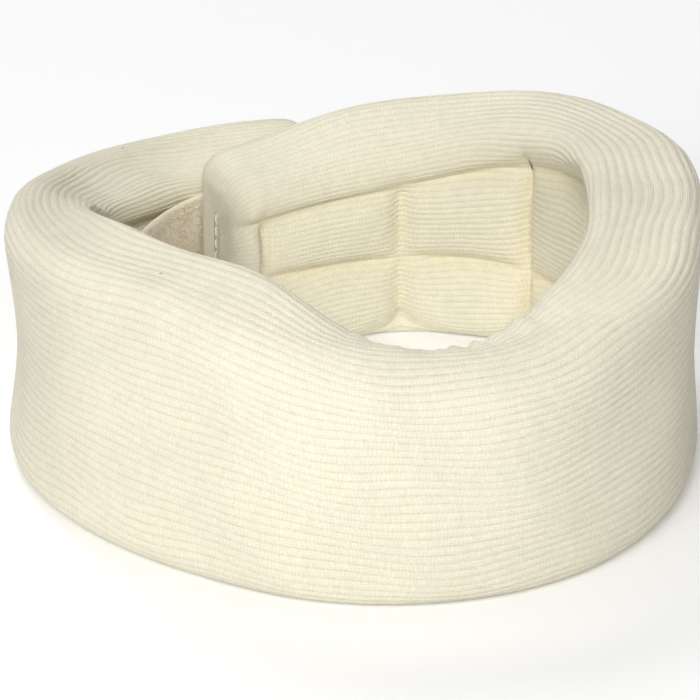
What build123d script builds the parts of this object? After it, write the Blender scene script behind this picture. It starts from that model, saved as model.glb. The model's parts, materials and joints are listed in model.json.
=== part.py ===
from build123d import *
import math
import os

# Soft foam cervical collar: one long foam strip in a knitted tube, rolled into a ring.
# Units are millimetres. +Z is up, the chin side faces -Y and the closure is at +Y.
os.makedirs("parts", exist_ok=True)

# ---- driving dimensions --------------------------------------------------------------
THICKNESS = 28.0           # strip thickness over the cover
SIDE_HEIGHT = 77.0         # height at the jaw, the tallest place
CHIN_DROP = 14.0           # how far the chin dip goes down
CHIN_OFFSET = 18.0         # from the strip's middle to the dip, towards the inner end
CHIN_HALF_WIDTH = 88.0     # length along the strip from the dip's bottom to its edge
OUTER_END_HEIGHT = 46.0    # height at the tip that closes on the outside
INNER_END_HEIGHT = 54.0    # height at the tip that lies inside
OUTER_TAPER = 190.0        # length over which the outer end comes down
INNER_TAPER = 180.0        # length over which the inner end comes down
EDGE_ROUND = 9.0           # rounding of the strip's four long edges
TIP_ROUND = 7.0            # rounding of the tips seen from above, less than TIP_CELL
TOP_SLOPE = 2.0            # how much lower the top is on the neck side
TIP_CELL = 8.0             # first and last foam cell
CELL = 43.2                # foam cell between two neck-side grooves
# turn of the strip in each cell, in degrees, from the outer tip to the inner tip
CELL_TURNS = [1, 30, 36, 12, 45, 15, 36, 39, 37, 13, 48, 46.5, 19, 1]
START_HEADING = 162.0      # direction of the strip at the outer tip

COVER_WALL = 1.2           # knitted cover
FOAM_CLEAR = 0.3           # between foam and cover
HINGE_GAP = 0.5            # between two neighbouring sections
SKIN_CLEAR = 0.05          # between two pieces that lie on each other

PATCH_THICK = 1.4          # hook and loop tape
CLOSING_GAP = 0.6          # between the two tapes where they face each other
PATCH_HEIGHT = 30.0
PATCH_BOTTOM = 8.0
LOOP_LENGTH = 80.0         # tape on the neck side of the outer end
HOOK_LENGTH = 38.0         # tape on the outside of the inner end
PATCH_FROM_TIP = 11.0
STITCH_INSET = 2.5
STITCH_WIDTH = 0.9
STITCH_DEPTH = 0.6
SEAM_FROM_EDGE = 12.0      # end seam, above the floor and below the top

# grooves (numbered from the outer tip) where the strip is allowed to bend
HINGE_GROOVES = [3, 4, 6, 8, 10, 12]
NAMES = ["outer_end", "left_bend", "left_side", "front", "right_side", "right_bend",
         "inner_end"]

# ---- the strip's path ----------------------------------------------------------------
LENGTHS = [TIP_CELL] + [CELL] * (len(CELL_TURNS) - 2) + [TIP_CELL]
GROOVES = [sum(LENGTHS[:k]) for k in range(len(LENGTHS) + 1)]
TOTAL = GROOVES[-1]
CHIN_AT = TOTAL / 2 + CHIN_OFFSET
LEFT_BEND_CELLS = (2, 3)   # the cells that ease open until the outer end lies clear
turns = list(CELL_TURNS)


def walk(s, origin=(0.0, 0.0)):
    """Position and heading of the strip's mid-line at length s: arcs joined end to end."""
    x, y = origin
    heading = math.radians(START_HEADING)
    for length, turn in zip(LENGTHS, turns):
        step = min(s, length)
        angle = math.radians(turn) * step / length
        chord = step * math.sin(angle / 2) / (angle / 2) if step > 0 else 0.0
        x += chord * math.cos(heading + angle / 2)
        y += chord * math.sin(heading + angle / 2)
        heading += angle
        s -= step
        if s <= 0:
            break
    return x, y, heading


def side_point(s, offset, origin=(0.0, 0.0)):
    """Point at a distance to the outside of the mid-line."""
    x, y, h = walk(s, origin)
    return x + offset * math.sin(h), y - offset * math.cos(h)


def layer_gap():
    """Least distance between the outer end's neck side and the inner end's outside."""
    outer_line = [walk(TOTAL * k / 400)[:2] for k in range(0, 110)]
    inner_face = [side_point(TOTAL * (1 - k / 400), THICKNESS / 2) for k in range(0, 60)]
    nearest = min(math.dist(p, q) for p in outer_line for q in inner_face)
    return nearest - THICKNESS / 2


# the left bend is eased until both tapes fit between the two ends
wanted = 2 * (SKIN_CLEAR + PATCH_THICK) + CLOSING_GAP
low_ease, high_ease = -20.0, 30.0
for _ in range(24):
    ease = (low_ease + high_ease) / 2
    for cell in LEFT_BEND_CELLS:
        turns[cell] = CELL_TURNS[cell] - ease / len(LEFT_BEND_CELLS)
    if layer_gap() < wanted:
        low_ease = ease
    else:
        high_ease = ease

SAMPLES = [side_point(TOTAL * k / 400, THICKNESS / 2) for k in range(401)]
MID_X = (min(p[0] for p in SAMPLES) + max(p[0] for p in SAMPLES)) / 2
MID_Y = (min(p[1] for p in SAMPLES) + max(p[1] for p in SAMPLES)) / 2
ORIGIN = (-MID_X, -MID_Y)


def top_height(s):
    """Height of the outer top edge: chin dip in the middle, both ends lower."""
    z = SIDE_HEIGHT
    if abs(s - CHIN_AT) < CHIN_HALF_WIDTH:
        z -= CHIN_DROP * math.cos(math.pi / 2 * (s - CHIN_AT) / CHIN_HALF_WIDTH) ** 2
    if s < OUTER_TAPER:
        z -= (SIDE_HEIGHT - OUTER_END_HEIGHT) * math.cos(math.pi / 2 * s / OUTER_TAPER) ** 2
    if TOTAL - s < INNER_TAPER:
        z -= (SIDE_HEIGHT - INNER_END_HEIGHT) * (1 - (TOTAL - s) / INNER_TAPER)
    return z


def plane_at(s):
    """Upright plane across the strip: local x points outward, local y points up."""
    x, y, h = walk(s, ORIGIN)
    return Plane(origin=(x, y, 0), x_dir=(math.sin(h), -math.cos(h), 0),
                 z_dir=(-math.cos(h), -math.sin(h), 0))


def strip_section(s, inset):
    """Cross-section of the strip, made smaller all round by the inset."""
    half = THICKNESS / 2 - inset
    low = inset
    high = top_height(s) - inset
    outline = Polyline((-half, low), (half, low), (half, high),
                       (-half, high - TOP_SLOPE), close=True)
    face = make_face(outline)
    face = fillet(face.vertices(), EDGE_ROUND - inset)
    return plane_at(s) * face


def stops(a, b):
    """Lengths at which the section is drawn: both ends, the grooves and half way."""
    marks = GROOVES + [(p + q) / 2 for p, q in zip(GROOVES[1:-2], GROOVES[2:-1])]
    return [a] + sorted(m for m in marks if a + 3 < m < b - 3) + [b]


def path_line(a, b, offset=0.0):
    """Mid-line between a and b, or a line beside it, as tangent arcs."""
    line = None
    marks = stops(a, b)
    for p, q in zip(marks[:-1], marks[1:]):
        start = side_point(p, offset, ORIGIN)
        end = side_point(q, offset, ORIGIN)
        middle = side_point((p + q) / 2, offset, ORIGIN)
        arc = ThreePointArc(start, middle, end)
        line = arc if line is None else line + arc
    return line


def tip_corners(s, way, inset):
    """What the rounding takes away from both corners of a tip; way leads into the strip."""
    half = THICKNESS / 2 - inset
    radius = TIP_ROUND - inset
    x, y, h = walk(s, ORIGIN)
    plan = Plane(origin=(x, y, 0), x_dir=(way * math.cos(h), way * math.sin(h), 0),
                 z_dir=(0, 0, 1))
    corners = []
    for side in (-1, 1):
        square = Pos((radius - 1) / 2, side * (half - (radius - 1) / 2)) * Rectangle(
            radius + 1, radius + 1)
        corners.append(square - Pos(radius, side * (half - radius)) * Circle(radius))
    return [extrude(plan * corner, SIDE_HEIGHT + 10, dir=(0, 0, 1)) for corner in corners]


def strip_solid(a, b, inset, tip_a=False, tip_b=False):
    """Solid stretch of the strip; a tip is pulled back by the inset and rounded."""
    a = a + inset if tip_a else a
    b = b - inset if tip_b else b
    sections = [strip_section(s, inset) for s in stops(a, b)]
    solid = sweep(sections=sections, path=path_line(a, b), multisection=True)
    if tip_a:
        solid -= tip_corners(a, 1, inset)
    if tip_b:
        solid -= tip_corners(b, -1, inset)
    return solid


def tape(a, b, low, high, u0, u1):
    """Flat band that follows the strip, from height low to high and u0 to u1 outward."""
    outline = Polyline((u0, low), (u1, low), (u1, high), (u0, high), close=True)
    face = plane_at(a) * make_face(outline)
    return sweep(sections=face, path=path_line(a, b))


def frame_band(a, b, low, high, u0, u1, width):
    """Rectangular frame of thread that follows a tape."""
    band = tape(a, b, low, high, u0, u1)
    hole = tape(a + width, b - width, low + width, high - width, u0 - 1, u1 + 1)
    return band - hole


def save(name, shape):
    solids = shape.solids()
    assert len(solids) == 1, (name, len(solids))
    piece = solids[0]
    piece.label = name
    export_step(piece, f"parts/{name}.step")
    print(f"{name}: volume {piece.volume:.0f}")


# ---- cover and foam sections ---------------------------------------------------------
bounds = [0.0] + [GROOVES[k] for k in HINGE_GROOVES] + [TOTAL]
for k, name in enumerate(NAMES):
    first = k == 0
    last = k == len(NAMES) - 1
    a = bounds[k] + (0 if first else HINGE_GAP / 2)
    b = bounds[k + 1] - (0 if last else HINGE_GAP / 2)
    outside = strip_solid(a, b, 0.0, first, last)
    # the tube stays open at a hinge and closed at a tip
    hollow = strip_solid(a, b, COVER_WALL, first, last)
    save(f"cover_{name}", outside - hollow)
    foam = strip_solid(a, b, COVER_WALL + FOAM_CLEAR, first, last)
    save(f"foam_{name}", foam)

# ---- closure: loop tape inside the outer end, hook tape outside the inner end ----------
half = THICKNESS / 2
tapes = [
    ("loop", PATCH_FROM_TIP, PATCH_FROM_TIP + LOOP_LENGTH, -1),
    ("hook", TOTAL - PATCH_FROM_TIP - HOOK_LENGTH, TOTAL - PATCH_FROM_TIP, 1),
]
for name, a, b, side in tapes:
    near = side * (half + SKIN_CLEAR)
    far = side * (half + SKIN_CLEAR + PATCH_THICK)
    low = PATCH_BOTTOM
    high = low + PATCH_HEIGHT
    patch = tape(a, b, low, high, min(near, far), max(near, far))
    inset = STITCH_INSET
    floor = side * (half + SKIN_CLEAR + PATCH_THICK - STITCH_DEPTH)
    lip = side * (half + SKIN_CLEAR + PATCH_THICK + 1)
    groove = frame_band(a + inset, b - inset, low + inset, high - inset, min(floor, lip),
                        max(floor, lip), STITCH_WIDTH + 2 * SKIN_CLEAR)
    save(f"{name}_tape", patch - groove)
    inset = STITCH_INSET + SKIN_CLEAR
    floor = side * (half + 2 * SKIN_CLEAR + PATCH_THICK - STITCH_DEPTH)
    thread = frame_band(a + inset, b - inset, low + inset, high - inset, min(floor, far),
                        max(floor, far), STITCH_WIDTH)
    save(f"{name}_stitching", thread)

# ---- end seams: a row of thread down each tip -----------------------------------------
for name, s, way in (("outer", 0.0, -1), ("inner", TOTAL, 1)):
    low = SEAM_FROM_EDGE
    high = top_height(s) - SEAM_FROM_EDGE
    base = plane_at(s)
    shift = base.z_dir * (-way * (SKIN_CLEAR + STITCH_WIDTH / 2))
    seam = Pos(*(base.origin + shift + Vector(0, 0, (low + high) / 2))) * Rot(
        0, 0, math.degrees(walk(s, ORIGIN)[2])) * Box(STITCH_WIDTH, STITCH_WIDTH, high - low)
    save(f"{name}_end_seam", seam)

# ---- facts for the record --------------------------------------------------------------
for k in HINGE_GROOVES:
    px, py = side_point(GROOVES[k], half, ORIGIN)
    print(f"groove {k}: axis at {px:.2f}, {py:.2f}; top {top_height(GROOVES[k]):.1f}")
print(f"strip length {TOTAL:.1f}, bend eased by {ease:.2f} degrees, gap {layer_gap():.2f}")
cx, cy, _ = walk(CHIN_AT, ORIGIN)
print(f"chin: mid-line at {cx:.2f}, {cy:.2f}")
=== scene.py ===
# %% [markdown]
# # A soft foam neck collar in Blender
# The real collar is one strip of foam in a knitted cotton tube. The strip is rolled into a
# ring, so that its two ends overlap at the nape and close with hook-and-loop tape.
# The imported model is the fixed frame: every piece below is put where its sections are.

# %% Load the frame
import json
import math
import bpy
import numpy as np
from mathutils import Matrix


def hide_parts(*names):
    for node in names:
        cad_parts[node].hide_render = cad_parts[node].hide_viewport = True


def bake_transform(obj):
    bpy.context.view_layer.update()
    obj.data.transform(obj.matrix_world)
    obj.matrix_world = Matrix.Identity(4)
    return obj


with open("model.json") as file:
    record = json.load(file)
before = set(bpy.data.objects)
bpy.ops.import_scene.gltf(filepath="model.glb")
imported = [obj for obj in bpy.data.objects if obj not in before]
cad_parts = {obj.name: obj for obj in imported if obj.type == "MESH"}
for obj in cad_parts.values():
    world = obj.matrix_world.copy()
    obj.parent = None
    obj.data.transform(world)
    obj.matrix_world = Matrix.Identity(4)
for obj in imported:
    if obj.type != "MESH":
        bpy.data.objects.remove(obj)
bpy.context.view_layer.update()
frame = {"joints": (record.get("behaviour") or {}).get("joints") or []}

# %% [markdown]
# ## Camera
# A long lens from a good distance, a little above the collar and to the left of the chin.
# With such a lens near and far parts of the ring are drawn at nearly the same scale.

# %% Camera
AZIMUTH = math.radians(-33.3)
ELEVATION = math.radians(27.33)
DISTANCE = 1.379
AIM = np.array([-0.0020, -0.0041, 0.0246])
LENS = 274.2


def camera_place(azimuth, elevation, distance, aim):
    """Point at that distance from the aim: back = (sin a cos e, -cos a cos e, sin e)."""
    back = np.array([math.sin(azimuth) * math.cos(elevation),
                     -math.cos(azimuth) * math.cos(elevation), math.sin(elevation)])
    return aim + back * distance


def look_at(obj, target):
    """Turns an object so that its -Z axis points at the target, with Y up."""
    from mathutils import Vector
    way = Vector(target) - obj.location
    obj.rotation_euler = way.to_track_quat("-Z", "Y").to_euler()


scene = bpy.context.scene
camera = bpy.data.objects.new("camera", bpy.data.cameras.new("camera"))
scene.collection.objects.link(camera)
camera.location = camera_place(AZIMUTH, ELEVATION, DISTANCE, AIM)
camera.data.lens = LENS
camera.data.clip_start, camera.data.clip_end = 0.05, 30
look_at(camera, AIM)
scene.camera = camera
print("camera at", tuple(round(c, 3) for c in camera.location))

# %% [markdown]
# ## The strip's path
# Seen from above, the strip's mid-line is a chain of cells. Each cell of foam lies between
# two grooves on the neck side and turns by its own angle. The turning is smoothed a little,
# because foam doesn't change its bend in one spot. The path is then moved so that its
# grooves meet the hinge lines of the frame.

# %% Path of the strip
MM = 0.001
TIP_CELL, CELL = 8.0, 43.2
CELL_TURNS = [1, 30, 34.57, 10.57, 45, 15, 36, 39, 37, 13, 48, 46.5, 19, 1]
START_HEADING = 162.0
THICKNESS = 28.0
HALF = THICKNESS / 2
HINGE_GROOVES = {"left_bend_back_flex": 3, "left_bend_front_flex": 4,
                 "left_front_flex": 6, "right_front_flex": 8,
                 "right_back_flex": 10, "right_end_flex": 12}

cell_lengths = np.array([TIP_CELL] + [CELL] * (len(CELL_TURNS) - 2) + [TIP_CELL])
GROOVES = np.concatenate([[0], np.cumsum(cell_lengths)])
TOTAL = GROOVES[-1]
FINE = 0.25
line_s = np.arange(-30, TOTAL + 30, FINE)


def smoothed(values, spread):
    """Values along the path, averaged with a bell curve of that spread in mm."""
    reach = np.arange(-4 * spread, 4 * spread + FINE, FINE)
    bell = np.exp(-0.5 * (reach / spread) ** 2)
    padded = np.pad(values, len(reach) // 2, mode="edge")
    return np.convolve(padded, bell / bell.sum(), mode="valid")[: len(values)]


which = np.clip(np.searchsorted(GROOVES, line_s, side="right") - 1, 0, len(CELL_TURNS) - 1)
bend = smoothed(np.radians(np.array(CELL_TURNS, float) / cell_lengths)[which], 7.0)
line_heading = np.radians(START_HEADING) + np.cumsum(bend) * FINE
line_heading -= np.interp(0, line_s, line_heading) - np.radians(START_HEADING)
line_x = np.cumsum(np.cos(line_heading)) * FINE
line_y = np.cumsum(np.sin(line_heading)) * FINE


def path_point(s, outward):
    """Plan position at length s, moved out along the normal (sin h, -cos h)."""
    h = np.interp(s, line_s, line_heading)
    x = np.interp(s, line_s, line_x) + outward * np.sin(h)
    y = np.interp(s, line_s, line_y) - outward * np.cos(h)
    return np.stack([x, y], axis=-1)


joints = {j["name"]: j for j in frame["joints"]}
hinge_s = {name: GROOVES[k] for name, k in HINGE_GROOVES.items()}
shift = np.mean([np.array(joints[n]["pos_m"][:2]) / MM - path_point(s, HALF)
                 for n, s in hinge_s.items()], axis=0)
line_x += shift[0]
line_y += shift[1]
for name, s in hinge_s.items():
    print(name, "off by mm", np.round(path_point(s, HALF) - np.array(
        joints[name]["pos_m"][:2]) / MM, 2))

# %% [markdown]
# ## Heights and thickness along the strip
# The strip is tallest at the jaw, dips under the chin and is lower at both ends. Its top
# isn't level from outside to inside either, so each side has its own line of heights.

# %% Height lines
# one value for each groove, from the outer tip to the inner tip
OUTER_TOP = [42, 43, 47.2, 58.5, 70, 76.6, 73.3, 64.7, 67, 72.7, 72.4, 67.3, 61.7, 55, 53.5]
INNER_TOP = [41, 41.5, 43, 52, 73.5, 76.7, 77, 60, 68.9, 75, 72.4, 66.8, 56.7, 53.5, 52.9]
OUTER_ROUND = [8, 8, 8, 8, 9, 13, 14, 12, 10, 7, 6.5, 7, 7, 7, 7]
INNER_ROUND = [8, 9, 10, 9, 4, 3, 5, 12, 9, 5, 5, 9, 12, 12, 12]
TOP_HOLLOW = [0.5, 0.5, 1.5, 3, 2.5, 1, 0.5, 0, 0, 0, 0, 0, 0, 0, 0]
INNER_BULGE = [0, 0, -1, -4, -4, 1, 0, 0, 1, 2, 2.5, 1.5, 0, 0, 0]
WAIST = [0.4, 0.5, 1, 2, 3.4, 2.6, 1.0, 0.3, 0.5, 0.8, 1.2, 1.2, 0.8, 0.4, 0.3]


def along(values, spread=10.0):
    """A line of values given at the grooves, as a smooth function of length."""
    curve = smoothed(np.interp(line_s, GROOVES, values), spread)
    return lambda s: np.interp(s, line_s, curve)


outer_top, inner_top = along(OUTER_TOP), along(INNER_TOP)
outer_round, inner_round = along(OUTER_ROUND), along(INNER_ROUND)
inner_bulge, waist, top_hollow = along(INNER_BULGE), along(WAIST, 16.0), along(TOP_HOLLOW)

# %% [markdown]
# ## The cross-section
# Across the strip the outline is a rounded oblong: floor side, outer side, top, neck side.
# It is measured as a share of its own length, so that the knit's ribs keep their number all
# the way along and crowd together where the strip is low, as they do on a real tube.

# %% Rounded outline
ROUND_BOTTOM = 8.0


def rounded_outline(s, share, inset):
    """Point (u, z) and normal (nu, nz) of the outline at a share 0..1 of its length.

    The walk starts in the middle of the floor side and goes outward, up, inward and down.
    Straight runs and quarter rounds follow each other, and the share picks a run and the
    place in it. The inset draws the outline in by that many mm. The top run touches both
    top corners: rise = angle between their centres + asin((ro - ri) / their distance).
    """
    half_out = HALF - inset + 0 * s
    half_in = HALF + inner_bulge(s) - inset
    low = inset
    z_out, z_in = outer_top(s) - inset, inner_top(s) - inset
    rb = np.maximum(ROUND_BOTTOM - inset, 0.6) + 0 * s
    ro = np.maximum(outer_round(s) - inset, 0.6)
    ri = np.maximum(np.minimum(inner_round(s) - inset, half_out + half_in - ro - 3), 0.5)
    across, up = half_out - ro + half_in - ri, z_out - ro - z_in + ri
    lean = np.clip((ro - ri) / np.hypot(across, up), -0.98, 0.98)
    rise = np.arctan2(up, across) + np.arcsin(lean)
    quarter = np.pi / 2
    corner = [  # centre u, centre z, radius, first angle, last angle
        (half_out - rb, low + rb, rb, -quarter + 0 * s, 0 * s),
        (half_out - ro, z_out - ro, ro, 0 * s, quarter + rise),
        (-half_in + ri, z_in - ri, ri, quarter + rise, np.pi + 0 * s),
        (-half_in + rb, low + rb, rb, np.pi + 0 * s, 1.5 * np.pi + 0 * s)]
    marks = []
    for cu, cz, r, a0, a1 in corner:
        marks.append((cu + r * np.cos(a0), cz + r * np.sin(a0)))
        marks.append((cu + r * np.cos(a1), cz + r * np.sin(a1)))
    middle = (0.5 * (marks[0][0] + marks[7][0]), low + 0 * s)
    stops = [middle] + marks + [middle]
    lengths = []
    for k in range(9):
        if k % 2 == 1:
            cu, cz, r, a0, a1 = corner[k // 2]
            lengths.append(r * (a1 - a0))
        else:
            p, q = stops[k], stops[k + 1]
            lengths.append(np.hypot(q[0] - p[0], q[1] - p[1]))
    ends = np.cumsum(np.stack(lengths), axis=0)
    want = share * ends[-1]
    u, z = np.zeros_like(want), np.zeros_like(want)
    nu, nz = np.zeros_like(want), np.zeros_like(want)
    begin = np.zeros_like(want)
    for k in range(9):
        here = (want >= begin) & (want <= ends[k])
        part = np.where(lengths[k] > 1e-9, (want - begin) / np.maximum(lengths[k], 1e-9), 0)
        if k % 2 == 1:
            cu, cz, r, a0, a1 = corner[k // 2]
            a = a0 + (a1 - a0) * part
            pu, pz, mu, mz = cu + r * np.cos(a), cz + r * np.sin(a), np.cos(a), np.sin(a)
        else:
            p, q = stops[k], stops[k + 1]
            pu, pz = p[0] + (q[0] - p[0]) * part, p[1] + (q[1] - p[1]) * part
            size = np.maximum(np.hypot(q[0] - p[0], q[1] - p[1]), 1e-9)
            mu, mz = (q[1] - p[1]) / size, -(q[0] - p[0]) / size
        u, z = np.where(here, pu, u), np.where(here, pz, z)
        nu, nz = np.where(here, mu, nu), np.where(here, mz, nz)
        begin = ends[k] + 0 * want
    return u, z, nu, nz, ends[-1]


# %% [markdown]
# ## What the foam and the knit do to that outline
# - The neck side is quilted: upright grooves between the cells and two level grooves give
#   three rows of pillows.
# - Under the chin the inner edge is squeezed into small wrinkles.
# - On the bends the outside pulls in to a waist, and the top sinks between its edges.

# %% Unevenness
rng = np.random.default_rng(11)


def make_noise(waves, shortest, longest, turns):
    """Sum of sine waves in length and in share; whole turns keep it closed round the tube."""
    k = 2 * np.pi / rng.uniform(shortest, longest, waves) * rng.choice([-1, 1], waves)
    m = 2 * np.pi * rng.integers(0, turns + 1, waves)
    phase = rng.uniform(0, 2 * np.pi, waves)

    def noise(s, share):
        total = 0 * s + 0 * share
        for a, b, c in zip(k, m, phase):
            total = total + np.sin(a * s + b * share + c)
        return total / math.sqrt(waves / 2)
    return noise


sag_noise = make_noise(9, 45, 120, 3)
rib_drift = make_noise(9, 30, 110, 5)
rib_height = make_noise(11, 9, 60, 9)

# %% Quilting, wrinkles and waist
LOW_GROOVE = 23.0          # height of the lower level groove
HIGH_GROOVE = 12.5         # the upper one, below the inner top edge
PILLOW = 4.4               # how far a pillow stands out of its grooves
CREASE = 2.4               # half width of the bottom of a groove
CUT, LEVEL_CUT = 1.0, 1.2  # extra depth of an upright and of a level groove
BELOW_FLOOR = 10.0         # the lowest pillow would reach this far under the floor
TOP_ROW = 24.0             # height of the uppermost pillow, most of it over the edge
GROOVE_EXTRA = [0, 0.3, 0.2, 0.3, 0.5, 0.6, 0.2, 0.0, 0.2, 0.5, 1.5, 1.8, 0.8, 0.5, 0]
groove_extra = along(GROOVE_EXTRA, 12.0)


def smoothstep(x, a, b):
    """0 below a, 1 above b, and 3t2 - 2t3 in between."""
    t = np.clip((x - a) / (b - a), 0, 1)
    return t * t * (3 - 2 * t)


def pillow_profile(x):
    """Across one pillow, x from -1 to 1: flat on top, steep at the groove."""
    return 1 - np.abs(np.clip(x, -1, 1)) ** 2.5


def neck_side(s, z, nu):
    """How far the neck side stands in from its outline, in mm, positive into the foam.

    depth = PILLOW * (1 - profile along * profile up) + the deeper of both cuts; it fades
    out round the floor edge and just below the top edge.
    """
    k = np.clip(np.searchsorted(GROOVES, s) - 1, 0, len(GROOVES) - 2)
    lo, hi = GROOVES[k], GROOVES[k + 1]
    at_tip = (k == 0) | (k == len(GROOVES) - 2)
    x = 2 * (s - lo) / (hi - lo) - 1
    # a pillow at a tip has no groove on the tip's side
    x = np.where(at_tip & (s < TOTAL / 2), np.maximum(x, -0.2), x)
    x = np.where(at_tip & (s > TOTAL / 2), np.minimum(x, 0.2), x)
    high = inner_top(s) - HIGH_GROOVE
    low_row = pillow_profile((z + BELOW_FLOOR) / (LOW_GROOVE + BELOW_FLOOR) * 2 - 1)
    middle_row = pillow_profile((z - LOW_GROOVE) / (high - LOW_GROOVE) * 2 - 1)
    top_row = pillow_profile((z - high) / TOP_ROW * 2 - 1)
    rows = np.where(z < LOW_GROOVE, low_row, np.where(z < high, middle_row, 0.8 * top_row))
    nearest = GROOVES[np.clip(np.round((s - TIP_CELL) / CELL).astype(int) + 1, 1,
                              len(GROOVES) - 2)]
    cut = (CUT + groove_extra(s)) * np.exp(-((s - nearest) / CREASE) ** 2)
    level = np.exp(-((z - LOW_GROOVE) / CREASE) ** 2) + np.exp(-((z - high) / CREASE) ** 2)
    depth = PILLOW * (1 - pillow_profile(x) * rows) + np.maximum(cut, LEVEL_CUT * level)
    corner = inner_round(s)
    below_edge = smoothstep(inner_top(s) - z, 0.4 * corner, corner + 5)
    return depth * smoothstep(-nu, 0.15, 0.75) * below_edge


WRINKLE = 0.95             # height of the wrinkles under the chin
CHIN_S, CHIN_SPREAD = 282.0, 26.0


def chin_wrinkles(s, u, z):
    """Wrinkles across the inner top edge at the chin, in mm, positive outward.

    Two waves along the strip, the longer one with a wandering phase, under a bell curve.
    """
    place = np.exp(-((s - CHIN_S) / CHIN_SPREAD) ** 2)
    wave = (np.sin(2 * np.pi * s / 9.6 + 2.6 * np.sin(2 * np.pi * s / 41))
            + 0.55 * np.sin(2 * np.pi * s / 5.3 + 1.0))
    at_edge = smoothstep(-u, -4, 11) * smoothstep(z, inner_top(s) - 16, inner_top(s) - 7)
    return WRINKLE * place * wave * at_edge


def outside_waist(s, z, nu):
    """How far the outside pulls in between top and bottom, in mm."""
    v = np.clip(z / outer_top(s), 0, 1)
    return waist(s) * np.sin(np.pi * v) ** 1.2 * smoothstep(nu, 0.1, 0.8)


def top_dent(s, u, nz):
    """How far the top sinks between its edges, in mm; deepest where the left bend is."""
    t = np.clip((u + HALF) / (2 * HALF), 0, 1)
    return top_hollow(s) * np.sin(np.pi * t) ** 2 * smoothstep(nz, 0.4, 0.9)


# %% [markdown]
# The knit lies over all of it in rounded ribs that run along the strip. They are stretched
# apart on the outside and crowd together on the neck side.

# %% Ribs of the knit
RIB_SHARES = [0, 0.07, 0.43, 0.57, 0.93, 1]      # floor side, outside, top, neck side
RIB_COUNTS = [0, 5.5, 34.5, 45.5, 84.5, 90]      # ribs counted up to each of them
RIBS = RIB_COUNTS[-1]      # ribs round the tube; they lie closer on the neck side
RIB_RISE = 0.34            # height of a rib, mm
RIB_DRIFT = 0.28           # how far a rib wanders, in rib widths
RIB_UNEVEN = 0.22          # share by which its height varies
SAG = 0.35                 # slow unevenness of the foam, mm
TIP_ROUND = 8.0            # rounding of the two tips
DEEPEST_INSET = 12.6       # how far the closing rings of a tip are drawn in


def rib_profile(x):
    """One rib, x from 0 to 1: round on top, with a narrow valley at both ends."""
    return 1 - np.abs(2 * (x % 1.0) - 1) ** 2.2


def rib_phase(s, share):
    """Rib count at a place; it drifts a little, as a hand-fitted tube does."""
    return np.interp(share, RIB_SHARES, RIB_COUNTS) + RIB_DRIFT * rib_drift(s, share)


def rib_strength(s, inset):
    """Ribs are stretched flat at the tips, where the tube is pulled shut."""
    from_tip = np.minimum(s, TOTAL - s)
    return (0.12 + 0.88 * smoothstep(from_tip, 6, 30)) * np.exp(-inset / 1.5)


def strip_surface(s, share, inset, skin, with_ribs):
    """The strip's surface, in metres: (x, y, z) arrays for rows (s, inset) and shares.

    skin is how far the surface lies under the cover's outside. The rounded outline is
    moved along its own normal by quilting, wrinkles, waist, a little unevenness and ribs.
    """
    u, z, nu, nz, _ = rounded_outline(s, share, inset)
    fade = np.exp(-inset / 4.0)
    move = -neck_side(s, z, nu) * fade - outside_waist(s, z, nu) * fade
    move = move + chin_wrinkles(s, u, z) * fade - top_dent(s, u, nz) * fade
    move = move + SAG * sag_noise(s, share) * (0.4 + 0.6 * smoothstep(z, 3, 12)) * fade
    if with_ribs:
        uneven = 1 + RIB_UNEVEN * rib_height(s, share)
        move = move + RIB_RISE * rib_strength(s, inset) * uneven * (
            rib_profile(rib_phase(s, share)) - 1)
    u = u + nu * (move - skin)
    z = np.maximum(z + nz * (move - skin), skin)
    return place_on_path(s, u, z)


def place_on_path(s, u, z):
    """(x, y, z) in metres of a point u outward of the mid-line at height z."""
    h = np.interp(s, line_s, line_heading)
    x = np.interp(s, line_s, line_x) + u * np.sin(h)
    y = np.interp(s, line_s, line_y) - u * np.cos(h)
    return np.stack([x, y, z], axis=-1) * MM


# %% [markdown]
# ## Cutting the tube into pieces across the hinges
# The frame has a hinge line at six of the grooves. One piece of cover goes from the middle
# of one section to the middle of the next, across the hinge between them. Two
# neighbouring pieces share the same ring of points, so the knit runs on without a gap.

# %% Rows of the tube
def tip_rows(first):
    """Rows (s, inset) that close a tip: s = R - sqrt(R2 - (R - inset)2), then a flat face."""
    inset = np.concatenate([np.linspace(DEEPEST_INSET, TIP_ROUND, 5)[:-1],
                            TIP_ROUND * (1 - np.sin(np.linspace(0, np.pi / 2, 12)))])
    left = TIP_ROUND - np.minimum(inset, TIP_ROUND)
    s = TIP_ROUND - np.sqrt(TIP_ROUND ** 2 - left ** 2)
    s = s - 0.05 * np.maximum(inset - TIP_ROUND, 0)
    if first:
        return s, inset
    return TOTAL - s[::-1], inset[::-1]


def tube_rows(a, b, step):
    """Rows from a to b; where a or b is a tip, its closing rows come with it."""
    start = TIP_ROUND if a <= 0 else a
    stop = TOTAL - TIP_ROUND if b >= TOTAL else b
    s = np.linspace(start, stop, int(round((stop - start) / step)) + 1)
    inset = np.zeros_like(s)
    if a <= 0:
        ts, ti = tip_rows(True)
        s, inset = np.concatenate([ts[:-1], s]), np.concatenate([ti[:-1], inset])
    if b >= TOTAL:
        ts, ti = tip_rows(False)
        s, inset = np.concatenate([s, ts[1:]]), np.concatenate([inset, ti[1:]])
    return s, inset


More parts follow.
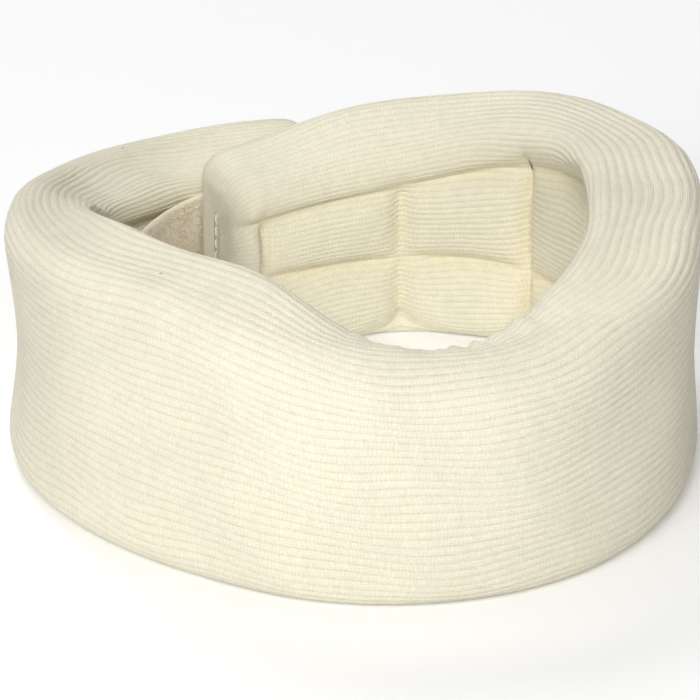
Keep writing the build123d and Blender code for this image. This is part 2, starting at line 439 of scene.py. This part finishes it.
def sunk_rows(s, inset, depth):
    """Rows moved under the skin by a depth: (new s, depth across the strip).

    On a tip's rounding the way in turns from across the strip to along it:
    across = 1 - inset / R, along = 1 - distance from the tip / R.
    """
    from_tip = np.minimum(s, TOTAL - s)
    into = np.where(s < TOTAL / 2, 1.0, -1.0) * np.clip(1 - from_tip / TIP_ROUND, 0, 1)
    return s + into * depth, np.clip(1 - inset / TIP_ROUND, 0, 1) * depth


def grid_faces(rows, cols, first=0, flip=False):
    """Quads of a grid of rows by cols that is closed round the tube."""
    r = np.arange(rows - 1)[:, None]
    c = np.arange(cols)[None, :]
    n = (c + 1) % cols
    quads = np.stack([r * cols + c, (r + 1) * cols + c, (r + 1) * cols + n, r * cols + n],
                     axis=-1).reshape(-1, 4) + first
    return quads[:, ::-1] if flip else quads


def ring_cap(start, cols, centre, flip):
    """Closes a ring with quads from its centre point, each over two of its edges."""
    k = np.arange(0, cols, 2)
    quads = np.stack([centre + 0 * k, start + k, start + k + 1, start + (k + 2) % cols],
                     axis=-1)
    return quads[:, ::-1] if flip else quads


def new_mesh(name, points, faces, smooth=True):
    """An object at the origin from an array of points and an array of faces."""
    mesh = bpy.data.meshes.new(name)
    faces = np.asarray(faces)
    sides = faces.shape[1]
    mesh.vertices.add(len(points))
    mesh.vertices.foreach_set("co", np.asarray(points, np.float32).ravel())
    mesh.loops.add(faces.size)
    mesh.loops.foreach_set("vertex_index", faces.ravel().astype(np.int32))
    mesh.polygons.add(len(faces))
    mesh.polygons.foreach_set("loop_start", np.arange(0, faces.size, sides, dtype=np.int32))
    mesh.polygons.foreach_set("use_smooth", np.full(len(faces), smooth))
    mesh.update(calc_edges=True)
    mesh.validate()
    obj = bpy.data.objects.new(name, mesh)
    scene.collection.objects.link(obj)
    return obj


# %% Bend lines at the hinges
BEND_REACH = 26.0          # the bend goes at most this far from its groove
BODIES = ["outer_end", "left_bend", "left_side", "front", "right_side", "right_bend",
          "inner_end"]
hinge_marks = [hinge_s[n] for n in hinge_s]
section_marks = np.array([0.0] + hinge_marks + [TOTAL])
section_middles = (section_marks[:-1] + section_marks[1:]) / 2
cuts = np.concatenate([[0.0], section_middles[1:-1], [TOTAL]])


def bend_limits(k):
    """Start and end of the bend at hinge k: two points in metres.

    The line joins the middles of both sections. It begins after the last point of the
    ring at one cut and ends before the first point of the ring at the other, so that the
    rings of neighbouring pieces stay together.
    """
    share = np.linspace(0, 1, 200)[None, :]
    a, b = hinge_marks[k] - BEND_REACH, hinge_marks[k] + BEND_REACH
    a, b = max(a, section_middles[k]), min(b, section_middles[k + 1])
    ring_a = strip_surface(np.array([[a]]), share, np.zeros((1, 1)), 0, False)[0]
    ring_b = strip_surface(np.array([[b]]), share, np.zeros((1, 1)), 0, False)[0]
    p, q = ring_a.mean(0), ring_b.mean(0)
    p[2] = q[2] = 0.03
    way = (q - p) / np.linalg.norm(q - p)
    first = ((ring_a - p) @ way).max()
    last = ((ring_b - p) @ way).min()
    return p + way * first, p + way * last


limits = [bend_limits(k) for k in range(6)]
for k, (p, q) in enumerate(limits):
    print("bend", k, "over mm", round(float(np.linalg.norm(q - p)) / MM, 1))


def bend_piece(obj, k):
    """Reads the bend's start and end at hinge k and bakes the object's transform; nothing
    makes the piece bend.
    """
    start, end = limits[k]
    tuple(start)
    tuple(end)
    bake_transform(obj)


# %% [markdown]
# ## Knitted cover
# The outside is a fine grid that follows every rib. A second grid just under it makes the
# knit a thin closed shell. The map coordinates are the length along the strip and the way
# round the tube, both in metres, so stitches keep their size and follow the fabric.

# %% Cover
POINTS_A_RIB = 6
ROUND_POINTS = RIBS * POINTS_A_RIB
ROW_STEP = 1.7             # mm between rows along the strip
KNIT = 1.1                 # thickness of the knit


def add_layer(mesh, name, per_point):
    """Stores one number for each point, for the material to read."""
    mesh.attributes.new(name, "FLOAT", "POINT").data.foreach_set(
        "value", np.asarray(per_point, np.float32).ravel())


def add_map(mesh, name, per_point):
    """A UV map from one pair of numbers for each point."""
    index = np.zeros(len(mesh.loops), np.int32)
    mesh.loops.foreach_get("vertex_index", index)
    mesh.uv_layers.new(name=name).data.foreach_set(
        "uv", np.asarray(per_point, np.float32)[index].ravel())


def sharp_rings(mesh, starts, cols):
    """Marks the rings that begin at these points as sharp, so shading stops at them."""
    ends = np.zeros(2 * len(mesh.edges), np.int32)
    mesh.edges.foreach_get("vertices", ends)
    ends = ends.reshape(-1, 2)
    sharp = np.zeros(len(ends), bool)
    for start in starts:
        sharp |= ((ends >= start) & (ends < start + cols)).all(axis=1)
    mesh.attributes.new("sharp_edge", "BOOLEAN", "EDGE").data.foreach_set("value", sharp)


def cover_piece(name, a, b):
    """Closed shell of knit between cuts a and b: outside, inside and joining rings."""
    s, inset = tube_rows(a, b, ROW_STEP)
    share = np.interp(np.arange(ROUND_POINTS) / POINTS_A_RIB, RIB_COUNTS, RIB_SHARES)[None, :]
    grid_s, grid_inset = s[:, None], inset[:, None]
    outside = strip_surface(grid_s, share, grid_inset, 0.0, True)
    under_s, under_skin = sunk_rows(grid_s, grid_inset, KNIT)
    under = strip_surface(under_s, share, grid_inset, under_skin, False)
    rows, cols = outside.shape[:2]
    points = np.concatenate([outside.reshape(-1, 3), under.reshape(-1, 3)])
    half = rows * cols
    faces = [grid_faces(rows, cols), grid_faces(rows, cols, half, True)]
    c = np.arange(cols)
    n = (c + 1) % cols
    centres = []
    for ring, is_tip, at_start in ((0, a <= 0, True), (rows - 1, b >= TOTAL, False)):
        o, i = ring * cols, half + ring * cols
        if is_tip:
            faces.append(ring_cap(o, cols, 2 * half, not at_start))
            faces.append(ring_cap(i, cols, 2 * half + 1, at_start))
            centres = [outside[ring].mean(axis=0), under[ring].mean(axis=0)]
        else:
            ring_faces = np.stack([o + c, o + n, i + n, i + c], axis=-1)
            faces.append(ring_faces if at_start else ring_faces[:, ::-1])
    points = np.concatenate([points, centres]) if centres else points
    obj = new_mesh(name, points, np.concatenate(faces))
    sharp_rings(obj.data, [r * cols for r in (0, rows - 1)] + [half, half + (rows - 1) * cols],
                cols)
    phase = rib_phase(grid_s, share)
    # the rib's lift is also the mask for the painted shade in the rib valleys
    lift = rib_profile(phase) + 0 * grid_s
    _, z, nu, _, around = rounded_outline(grid_s, share, grid_inset)
    # the quilting's depth, also the mask for the painted warm bounce light and shade
    hollow = neck_side(grid_s, z, nu) / (PILLOW + 1.5)
    length = grid_s + np.where(grid_s < TOTAL / 2, -grid_inset, grid_inset)
    way = np.stack([length + 0 * share, share * around + 0 * grid_s], axis=-1) * MM
    inner_zero = np.zeros(len(points) - half)
    add_layer(obj.data, "rib", np.concatenate([lift.ravel(), inner_zero]))
    add_layer(obj.data, "hollow", np.concatenate([hollow.ravel(), inner_zero + 1]))
    add_layer(obj.data, "neck", np.concatenate([np.clip(-nu, 0, 1).ravel(), inner_zero]))
    way = np.concatenate([np.tile(way.reshape(-1, 2), (2, 1)),
                          np.tile(way[0, 0], (len(centres), 1))])
    add_map(obj.data, "knit_map", way)
    return obj


cover = []
for k in range(6):
    piece = cover_piece(f"knit_cover_{BODIES[k]}_to_{BODIES[k + 1]}", cuts[k], cuts[k + 1])
    cover.append(piece)
    print(piece.name, len(piece.data.polygons), "faces")

# %% [markdown]
# ## Foam
# The foam isn't seen in a closed collar, but it is there: it fills the cover with the same
# grooves, a little under the knit. A coarser grid is enough.

# %% Foam
FOAM_UNDER = 1.9           # mm under the cover's outside
FOAM_POINTS, FOAM_STEP = 120, 2.2


def foam_piece(name, a, b):
    """Closed block of foam between cuts a and b."""
    s, inset = tube_rows(a, b, FOAM_STEP)
    share = (np.arange(FOAM_POINTS) / FOAM_POINTS)[None, :]
    under_s, under_skin = sunk_rows(s[:, None], inset[:, None], FOAM_UNDER)
    skin = strip_surface(under_s, share, inset[:, None], under_skin, False)
    rows, cols = skin.shape[:2]
    faces = [grid_faces(rows, cols), ring_cap(0, cols, rows * cols, False),
             ring_cap((rows - 1) * cols, cols, rows * cols + 1, True)]
    points = np.concatenate([skin.reshape(-1, 3), [skin[0].mean(axis=0)],
                             [skin[-1].mean(axis=0)]])
    return new_mesh(name, points, np.concatenate(faces))


foam = []
for k in range(6):
    foam.append(foam_piece(f"foam_core_{BODIES[k]}_to_{BODIES[k + 1]}", cuts[k],
                           cuts[k + 1]))
print("foam pieces", len(foam))

# %% [markdown]
# ## Hook and loop tape
# Each tape is a thin woven band sewn flat on the knit. The loop tape carries a brushed pile
# of fine curled threads; the hook tape carries rows of small stiff hooks.

# %% Tapes
PATCH_BOTTOM, PATCH_HEIGHT, PATCH_THICK = 8.0, 30.0, 1.4
FROM_TIP, LOOP_LENGTH, HOOK_LENGTH = 11.0, 80.0, 38.0
TAPES = {"loop": (FROM_TIP, FROM_TIP + LOOP_LENGTH, -1),
         "hook": (TOTAL - FROM_TIP - HOOK_LENGTH, TOTAL - FROM_TIP, 1)}


def tape_point(side, s, z, lift):
    """Point on a tape: lift mm above the knit, on the neck side (-1) or outside (1)."""
    return place_on_path(s, side * (HALF + 0.1 + lift), z)


def tape_band(name, side, a, b):
    """Closed woven band with a slightly uneven face and soft edges."""
    across = np.linspace(-1, 1, 60)
    s = np.linspace(a, b, int((b - a) / 0.6))[:, None]
    z = PATCH_BOTTOM + PATCH_HEIGHT * (across + 1) / 2
    edge = np.minimum(np.minimum(z - PATCH_BOTTOM, PATCH_BOTTOM + PATCH_HEIGHT - z)[None],
                      np.minimum(s - a, b - s))
    weave = 0.05 * np.sin(s * 2 * np.pi / 1.2) * np.sin(z * 2 * np.pi / 1.3)[None]
    top = PATCH_THICK * 0.62 * np.sqrt(np.clip(edge / 0.7, 0.05, 1)) + weave
    face = tape_point(side, s + 0 * top, z[None] + 0 * top, top)
    back = tape_point(side, s + 0 * top, z[None] + 0 * top, 0 * top)
    rows, cols = top.shape
    points = np.concatenate([face.reshape(-1, 3), back.reshape(-1, 3)])
    r, c = np.meshgrid(np.arange(rows - 1), np.arange(cols - 1), indexing="ij")
    q = np.stack([r * cols + c, r * cols + c + 1, (r + 1) * cols + c + 1,
                  (r + 1) * cols + c], axis=-1).reshape(-1, 4)
    rim = np.concatenate([np.arange(cols), cols * np.arange(1, rows) + cols - 1,
                          (rows - 1) * cols + np.arange(cols - 2, -1, -1),
                          cols * np.arange(rows - 2, 0, -1)])
    nxt = np.roll(rim, -1)
    n = rows * cols
    wall = np.stack([rim, rim + n, nxt + n, nxt], axis=-1)
    faces = np.concatenate([q, q[:, ::-1] + n, wall])
    if side > 0:
        faces = faces[:, ::-1]
    return new_mesh(name, points, faces)


def threads(name, paths, radius, sides=5):
    """Many short threads as closed tubes. paths: (threads, steps, 3) in metres.

    Each ring is a circle round the path in the plane of two normals; rings at the ends
    shrink, so that a thread closes to a point.
    """
    count, steps, _ = paths.shape
    way = np.gradient(paths, axis=1)
    way /= np.linalg.norm(way, axis=2, keepdims=True) + 1e-12
    up = np.array([0.31, 0.22, 0.92])
    n1 = np.cross(way, up)
    n1 /= np.linalg.norm(n1, axis=2, keepdims=True) + 1e-12
    n2 = np.cross(way, n1)
    turn = 2 * np.pi * np.arange(sides) / sides
    thin = np.ones(steps)
    thin[0] = thin[-1] = 0.25
    ring = (np.cos(turn)[None, None, :, None] * n1[:, :, None, :]
            + np.sin(turn)[None, None, :, None] * n2[:, :, None, :])
    points = paths[:, :, None, :] + ring * (radius * thin)[None, :, None, None]
    per = steps * sides
    r, c = np.meshgrid(np.arange(steps - 1), np.arange(sides), indexing="ij")
    n = (c + 1) % sides
    quads = np.stack([r * sides + c, r * sides + n, (r + 1) * sides + n, (r + 1) * sides + c],
                     axis=-1).reshape(-1, 4)
    k, last = np.arange(1, sides - 1), per - sides
    caps = np.concatenate([np.stack([0 * k, k + 1, k], axis=-1),
                           last + np.stack([0 * k, k, k + 1], axis=-1)])
    start = np.arange(count)[:, None, None] * per
    faces = (quads[None] + start).reshape(-1, 4)
    tris = (caps[None] + start).reshape(-1, 3)
    flat = points.reshape(-1, 3)
    mesh = bpy.data.meshes.new(name)
    mesh.from_pydata(flat.tolist(), [], faces.tolist() + tris.tolist())
    mesh.polygons.foreach_set("use_smooth", np.ones(len(mesh.polygons), bool))
    obj = bpy.data.objects.new(name, mesh)
    scene.collection.objects.link(obj)
    return obj


a, b, side = TAPES["loop"]
loop_band = tape_band("loop_tape_band", side, a, b)
LOOPS = 3400
root_s = rng.uniform(a + 0.4, b - 0.4, LOOPS)
root_z = rng.uniform(PATCH_BOTTOM + 0.4, PATCH_BOTTOM + PATCH_HEIGHT - 0.4, LOOPS)
lean = rng.uniform(0, 2 * np.pi, LOOPS)
reach = rng.uniform(0.5, 1.3, LOOPS)
t = np.linspace(0, 1, 6)[None, :]
arch = np.sin(np.pi * t) * rng.uniform(0.35, 0.75, LOOPS)[:, None]
curl = 0.25 * np.sin(2 * np.pi * t + lean[:, None])
pile_s = root_s[:, None] + reach[:, None] * np.cos(lean)[:, None] * (t - 0.5) + curl
pile_z = root_z[:, None] + reach[:, None] * np.sin(lean)[:, None] * (t - 0.5)
pile_paths = tape_point(side, pile_s, pile_z, PATCH_THICK * 0.55 + arch)
loop_pile = threads("loop_tape_pile", pile_paths, 0.055 * MM, 4)

a, b, side = TAPES["hook"]
hook_band = tape_band("hook_tape_band", side, a, b)
HOOK_PITCH = 1.35
gs, gz = np.meshgrid(np.arange(a + 1.2, b - 0.8, HOOK_PITCH),
                     np.arange(PATCH_BOTTOM + 1.2, PATCH_BOTTOM + PATCH_HEIGHT - 0.8, 1.3),
                     indexing="ij")
gs, gz = gs.ravel()[:, None], gz.ravel()[:, None]
t = np.linspace(0, 1, 6)[None, :]
bow = np.where(t < 0.6, t / 0.6, 1 - 0.35 * ((t - 0.6) / 0.4) ** 2)
sweep = np.where(t < 0.6, 0, 0.45 * np.sin((t - 0.6) / 0.4 * np.pi / 2))
turned = np.where(((gs / HOOK_PITCH).astype(int) % 2) == 0, 1.0, -1.0)
hook_paths = tape_point(side, gs + 0 * t, gz + turned * sweep, 0.8 + 0.55 * bow)
hook_rows = threads("hook_tape_hooks", hook_paths, 0.09 * MM, 4)
print("loops", LOOPS, "hooks", len(gs))

# %% [markdown]
# ## Stitching
# The tapes are sewn round with a lock stitch, and each end of the tube is closed with one
# row. A stitch is a short thread that dips into the fabric at both ends.

# %% Stitches
STITCH, GAP, THREAD = 2.9, 0.7, 0.24      # stitch, gap between stitches, thread's radius
SEAM_THREAD = 0.3
FROM_EDGE = 2.9            # of the stitching, from the tape's edge


def stitch_line(p, q):
    """Starts and ends, as shares of the line from p to q, of stitches of even length."""
    length = float(np.hypot(q[0] - p[0], q[1] - p[1]))
    count = max(int(length / (STITCH + GAP)), 1)
    step = length / count
    first = (np.arange(count) * step + GAP / 2) / length
    return first, first + (step - GAP) / length


def stitch_paths(corners, point):
    """Stitches along the line of corners; point(s, z, lift) gives the place in metres."""
    found = []
    for p, q in zip(corners[:-1], corners[1:]):
        first, last = stitch_line(p, q)
        t = first[:, None] + (last - first)[:, None] * np.linspace(0, 1, 7)[None, :]
        hump = np.sin(np.pi * np.linspace(0, 1, 7))[None, :] ** 0.5
        found.append(point(p[0] + (q[0] - p[0]) * t, p[1] + (q[1] - p[1]) * t,
                           0 * t + hump))
    return np.concatenate(found)


stitching = {}
for name, (a, b, side) in TAPES.items():
    lo, hi = PATCH_BOTTOM + FROM_EDGE, PATCH_BOTTOM + PATCH_HEIGHT - FROM_EDGE
    first, last = a + FROM_EDGE, b - FROM_EDGE
    corners = [(first, lo), (last, lo), (last, hi), (first, hi), (first, lo)]
    paths = stitch_paths(corners, lambda s, z, hump, side=side: tape_point(
        side, s, z, 0.62 + 0.42 * hump))
    stitching[name] = threads(f"{name}_tape_stitching", paths, THREAD * MM, 6)


def tip_point(end_s, way):
    """Places stitches on a tip's face: first value is across, second is height."""
    def point(across, z, hump):
        s = end_s + way * (0.1 + 0.35 * hump)
        return place_on_path(s, across, z)
    return point


seams = {}
for name, end_s, way in (("outer", 0.0, -1), ("inner", TOTAL, 1)):
    top = float(min(outer_top(end_s), inner_top(end_s)))
    paths = stitch_paths([(0, 13), (0.4, top / 2), (0, top - 12)], tip_point(end_s, way))
    seams[name] = threads(f"{name}_end_seam_thread", paths, SEAM_THREAD * MM, 6)
print("stitched")

# %% [markdown]
# ## Materials
# The cover is undyed cotton rib knit: cream, matt, with a soft sheen from its fibres. Each
# rib's valley gets a painted shade, darker than its top, and the neck side's quilting gets a
# painted warm tint for bounce light and shade, strongest in its hollows. Small stitches, brown
# flecks of cotton seed and a slow change of tone make it look knitted and not painted.

# %% Node helpers
def new_material(name):
    """Material with an empty node tree and its output; returns (material, nodes, links)."""
    mat = bpy.data.materials.new(name)
    mat.use_nodes = True
    mat.node_tree.nodes.clear()
    return mat, mat.node_tree.nodes, mat.node_tree.links


def link_into(links, socket, value):
    """Sets a socket to a number, colour or vector, or links another socket to it."""
    if isinstance(value, bpy.types.NodeSocket):
        links.new(value, socket)
    elif value is not None:
        socket.default_value = value


def math_node(nodes, links, kind, a, b=None, c=None):
    """Output of a math node; each value is a number or a socket."""
    node = nodes.new("ShaderNodeMath")
    node.operation = kind
    for socket, value in zip(node.inputs, (a, b, c)):
        link_into(links, socket, value)
    return node.outputs[0]


def mix_colour(nodes, links, factor, a, b, kind="MIX"):
    """Colour from a to b by the factor, or multiplied."""
    node = nodes.new("ShaderNodeMix")
    node.data_type = "RGBA"
    node.blend_type = kind
    link_into(links, node.inputs[0], factor)
    link_into(links, node.inputs[6], a)
    link_into(links, node.inputs[7], b)
    return node.outputs[2]


def between(nodes, links, value, low, high, out_low=0.0, out_high=1.0):
    """Maps low..high of a value to out_low..out_high, smoothly."""
    node = nodes.new("ShaderNodeMapRange")
    node.interpolation_type = "SMOOTHSTEP"
    for socket, v in zip(node.inputs, (value, low, high, out_low, out_high)):
        link_into(links, socket, v)
    return node.outputs[0]


def cloud_noise(nodes, links, coords, scale, detail=3.0, rough=0.55):
    """Noise from 0 to 1 on the coordinates; scale is in clouds a metre."""
    node = nodes.new("ShaderNodeTexNoise")
    node.inputs["Scale"].default_value = scale
    node.inputs["Detail"].default_value = detail
    node.inputs["Roughness"].default_value = rough
    links.new(coords, node.inputs["Vector"])
    return node.outputs["Fac"]


def attribute(nodes, name):
    """One of the numbers stored for each point."""
    node = nodes.new("ShaderNodeAttribute")
    node.attribute_name = name
    return node.outputs["Fac"]


def cloth_shader(nodes, links, colour, height, distance, roughness, sheen, tint):
    """Principled shader for cloth with a bump from the height, into the output."""
    bump = nodes.new("ShaderNodeBump")
    bump.inputs["Strength"].default_value = 1.0
    bump.inputs["Distance"].default_value = distance
    links.new(height, bump.inputs["Height"])
    shader = nodes.new("ShaderNodeBsdfPrincipled")
    link_into(links, shader.inputs["Base Color"], colour)
    link_into(links, shader.inputs["Roughness"], roughness)
    shader.inputs["Specular IOR Level"].default_value = 0.2
    shader.inputs["Sheen Weight"].default_value = sheen
    shader.inputs["Sheen Roughness"].default_value = 0.5
    shader.inputs["Sheen Tint"].default_value = tint
    links.new(bump.outputs["Normal"], shader.inputs["Normal"])
    out = nodes.new("ShaderNodeOutputMaterial")
    links.new(shader.outputs[0], out.inputs["Surface"])
    return shader


# %% Knit material
CREAM = (0.90, 0.855, 0.69, 1)
# painted shade of the rib valleys
VALLEY_PAINTED_SHADE = (0.80, 0.75, 0.56, 1)
# painted warm tint for bounce light and shade inside the ring
PAINTED_WARM_BOUNCE_SHADE = (0.86, 0.77, 0.54, 1)
FLECK = (0.42, 0.27, 0.12, 1)
COURSE = 0.00085           # height of one stitch along the strip, m
WALE = 0.00062             # width of one stitch round the tube, m


def knit_material():
    """Ribs and stitches from the map (length, way round); flecks from Object coordinates."""
    mat, nodes, links = new_material("cream_rib_knit")
    uv = nodes.new("ShaderNodeUVMap")
    uv.uv_map = "knit_map"
    split = nodes.new("ShaderNodeSeparateXYZ")
    links.new(uv.outputs[0], split.inputs[0])
    place = nodes.new("ShaderNodeTexCoord").outputs["Object"]
    fuzz = cloud_noise(nodes, links, place, 2600, 2.0)
    rib = attribute(nodes, "rib")
    hollow = attribute(nodes, "hollow")
    neck = attribute(nodes, "neck")
    row = math_node(nodes, links, "MULTIPLY", split.outputs[0], 2 * math.pi / COURSE)
    col = math_node(nodes, links, "MULTIPLY", split.outputs[1], 2 * math.pi / WALE)
    row = math_node(nodes, links, "MULTIPLY_ADD", fuzz, 2.2, row)
    patchy = cloud_noise(nodes, links, place, 320, 2.0)
    row = math_node(nodes, links, "MULTIPLY_ADD", patchy, 26.0, row)
    vee = math_node(nodes, links, "ABSOLUTE", math_node(nodes, links, "SINE",
                    math_node(nodes, links, "MULTIPLY", col, 0.5)))
    slant = math_node(nodes, links, "MULTIPLY_ADD", vee, 1.9, row)
    loops = math_node(nodes, links, "SINE", slant)
    gaps = math_node(nodes, links, "POWER", vee, 0.6)
    stitch = math_node(nodes, links, "MULTIPLY",
                       math_node(nodes, links, "MULTIPLY_ADD", loops, 0.35, 0.65), gaps)
    height = math_node(nodes, links, "ADD", stitch,
                       math_node(nodes, links, "MULTIPLY", fuzz, 0.5))
    slow = cloud_noise(nodes, links, place, 26, 4.0)
    fine = cloud_noise(nodes, links, place, 420, 3.0)
    # painted shade: darker colour in the rib valleys, lighter on the rib tops
    tone = mix_colour(nodes, links, between(nodes, links, rib, 0.0, 0.75), VALLEY_PAINTED_SHADE, CREAM)
    # painted warm bounce light and shade: a warm, darker tint on the neck side, strongest in
    # the quilting's hollows
    painted_warm_bounce_shade = math_node(nodes, links, "MULTIPLY", between(nodes, links, hollow, 0.15, 1.1), 0.45)
    painted_warm_bounce_shade = math_node(nodes, links, "MULTIPLY", painted_warm_bounce_shade, between(nodes, links, neck, 0.2, 0.8))
    tone = mix_colour(nodes, links, painted_warm_bounce_shade, tone, PAINTED_WARM_BOUNCE_SHADE)
    shade = between(nodes, links, stitch, 0.1, 0.95, 0.90, 1.02)
    shade = math_node(nodes, links, "MULTIPLY", shade,
                      between(nodes, links, slow, 0.3, 0.7, 0.96, 1.03))
    shade = math_node(nodes, links, "MULTIPLY", shade,
                      between(nodes, links, fine, 0.25, 0.75, 0.97, 1.02))
    grey = nodes.new("ShaderNodeCombineColor")
    for socket in grey.inputs:
        links.new(shade, socket)
    tone = mix_colour(nodes, links, 1.0, tone, grey.outputs[0], "MULTIPLY")
    cells = nodes.new("ShaderNodeTexVoronoi")
    cells.inputs["Scale"].default_value = 85
    links.new(place, cells.inputs["Vector"])
    pick = nodes.new("ShaderNodeSeparateColor")
    links.new(cells.outputs["Color"], pick.inputs[0])
    chosen = math_node(nodes, links, "GREATER_THAN", pick.outputs[0], 0.86)
    size = math_node(nodes, links, "MULTIPLY_ADD", pick.outputs[1], 0.03, 0.02)
    spot = math_node(nodes, links, "LESS_THAN", cells.outputs["Distance"], size)
    spot = math_node(nodes, links, "MULTIPLY", math_node(nodes, links, "MULTIPLY", spot,
                     chosen), 0.55)
    tone = mix_colour(nodes, links, spot, tone, FLECK)
    cloth_shader(nodes, links, tone, height, 0.00011, 0.9, 0.15, (1.0, 0.98, 0.93, 1))
    return mat


knit = knit_material()

# %% [markdown]
# The foam, the tapes and the thread each get their own finish. The foam is pale with open
# cells. Loop pile is beige nylon with a soft shine, and hook tape is a little darker.


# %% Foam, tape and thread materials
def pitted_material(name, light, dark, scale, depth, roughness, sheen):
    """Open cells: a cell pattern paints shade into the holes and presses them in."""
    mat, nodes, links = new_material(name)
    place = nodes.new("ShaderNodeTexCoord").outputs["Object"]
    cells = nodes.new("ShaderNodeTexVoronoi")
    cells.inputs["Scale"].default_value = scale
    links.new(place, cells.inputs["Vector"])
    cloud = cloud_noise(nodes, links, place, scale * 0.07)
    mixed = math_node(nodes, links, "MULTIPLY_ADD", cloud, 0.35, cells.outputs["Distance"])
    # painted shade: the cell holes are darker
    colour = mix_colour(nodes, links, between(nodes, links, mixed, 0.1, 0.7), dark, light)
    cloth_shader(nodes, links, colour, mixed, depth, roughness, sheen, (1, 1, 1, 1))
    return mat


def fibre_material(name, light, dark, pitch, roughness, sheen):
    """Fibres: a fine noise streaks the colour; sheen gives the soft edge."""
    mat, nodes, links = new_material(name)
    place = nodes.new("ShaderNodeTexCoord").outputs["Object"]
    streak = cloud_noise(nodes, links, place, 1 / pitch, 4.0, 0.7)
    cloud = cloud_noise(nodes, links, place, 90, 2.0)
    both = math_node(nodes, links, "MULTIPLY_ADD", cloud, 0.5,
                     math_node(nodes, links, "MULTIPLY", streak, 0.5))
    colour = mix_colour(nodes, links, between(nodes, links, both, 0.3, 0.7), dark, light)
    cloth_shader(nodes, links, colour, streak, pitch * 0.3, roughness, sheen,
                 (1, 0.97, 0.92, 1))
    return mat


foam_finish = pitted_material("open_cell_foam", (0.90, 0.88, 0.76, 1),
                              (0.78, 0.74, 0.58, 1), 1400, 0.0003, 0.95, 0.1)
loop_finish = fibre_material("loop_pile_nylon", (0.88, 0.81, 0.66, 1),
                             (0.76, 0.68, 0.52, 1), 0.0006, 0.6, 0.4)
hook_finish = fibre_material("hook_tape_nylon", (0.74, 0.66, 0.52, 1),
                             (0.60, 0.51, 0.38, 1), 0.0008, 0.45, 0.1)
thread_finish = fibre_material("sewing_thread", (0.86, 0.80, 0.64, 1),
                               (0.74, 0.67, 0.50, 1), 0.0003, 0.55, 0.3)

# %% [markdown]
# ## Putting the pieces on the frame
# Every piece says which CAD nodes it stands for and which finish it takes.

def finish_piece(obj, material, slot_name, *nodes):
    """One material, and the CAD nodes that the piece stands for; slot_name is not used."""
    obj.data.materials.append(material)
    if nodes:
        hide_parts(*nodes)


for k in range(6):
    a, b = BODIES[k], BODIES[k + 1]
    finish_piece(cover[k], knit, "cotton_knit", f"cover_{a}", f"cover_{b}")
    bend_piece(cover[k], k)
    finish_piece(foam[k], foam_finish, "soft_foam", f"foam_{a}", f"foam_{b}")
    bend_piece(foam[k], k)

for obj, finish, slot_name, nodes, k in (
        (loop_band, loop_finish, "loop_pile", ["loop_tape"], 0),
        (loop_pile, loop_finish, "loop_pile", [], 0),
        (hook_band, hook_finish, "hook_tape", ["hook_tape"], 5),
        (hook_rows, hook_finish, "hook_tape", [], 5),
        (stitching["loop"], thread_finish, "thread", ["loop_stitching"], 0),
        (stitching["hook"], thread_finish, "thread", ["hook_stitching"], 5),
        (seams["outer"], thread_finish, "thread", ["outer_end_seam"], 0),
        (seams["inner"], thread_finish, "thread", ["inner_end_seam"], 5)):
    finish_piece(obj, finish, slot_name, *nodes)
    bend_piece(obj, k)

# %% [markdown]
# ## Floor and light
# A plain white floor that glows a little, an almost dark sky, and four soft lamps. The key
# comes from the front left, a weaker one from further left, one from above and one from
# behind, which lights the top of the far wall. The floor lights the lower edges.

# %% Floor
floor_mat, floor_nodes, floor_links = new_material("white_floor")
floor_shader = floor_nodes.new("ShaderNodeBsdfPrincipled")
floor_shader.inputs["Base Color"].default_value = (0.93, 0.93, 0.93, 1)
floor_shader.inputs["Roughness"].default_value = 0.9
floor_shader.inputs["Emission Color"].default_value = (1, 1, 1, 1)
floor_shader.inputs["Emission Strength"].default_value = 0.12
floor_shader.inputs["Specular IOR Level"].default_value = 0.1
floor_out = floor_nodes.new("ShaderNodeOutputMaterial")
floor_links.new(floor_shader.outputs[0], floor_out.inputs["Surface"])
HALF_FLOOR, FLOOR_LEVEL = 6.0, -0.0002
floor_corners = [(x * HALF_FLOOR, y * HALF_FLOOR, FLOOR_LEVEL)
                 for x, y in ((-1, -1), (1, -1), (1, 1), (-1, 1))]
floor = new_mesh("floor", floor_corners, [[0, 1, 2, 3]], False)
floor.data.materials.append(floor_mat)

# %% Light
world = bpy.data.worlds.new("studio")
scene.world = world
world.use_nodes = True
world.node_tree.nodes["Background"].inputs["Color"].default_value = (1, 1, 1, 1)
world.node_tree.nodes["Background"].inputs["Strength"].default_value = 0.02


def soft_lamp(name, place, size, power, target=(0, 0, 0.03)):
    """Square area lamp that faces the target."""
    data = bpy.data.lights.new(name, "AREA")
    data.shape = "SQUARE"
    data.size, data.energy = size, power
    lamp = bpy.data.objects.new(name, data)
    scene.collection.objects.link(lamp)
    lamp.location = place
    look_at(lamp, target)
    return lamp


soft_lamp("key", (-1.1, -1.5, 1.5), 0.9, 35)
soft_lamp("left", (-1.7, -1.0, 1.2), 0.9, 12)
soft_lamp("top", (0.0, 0.0, 2.2), 1.2, 8)
soft_lamp("back", (0.3, 1.4, 1.7), 1.0, 19)
scene.view_settings.view_transform = "Standard"
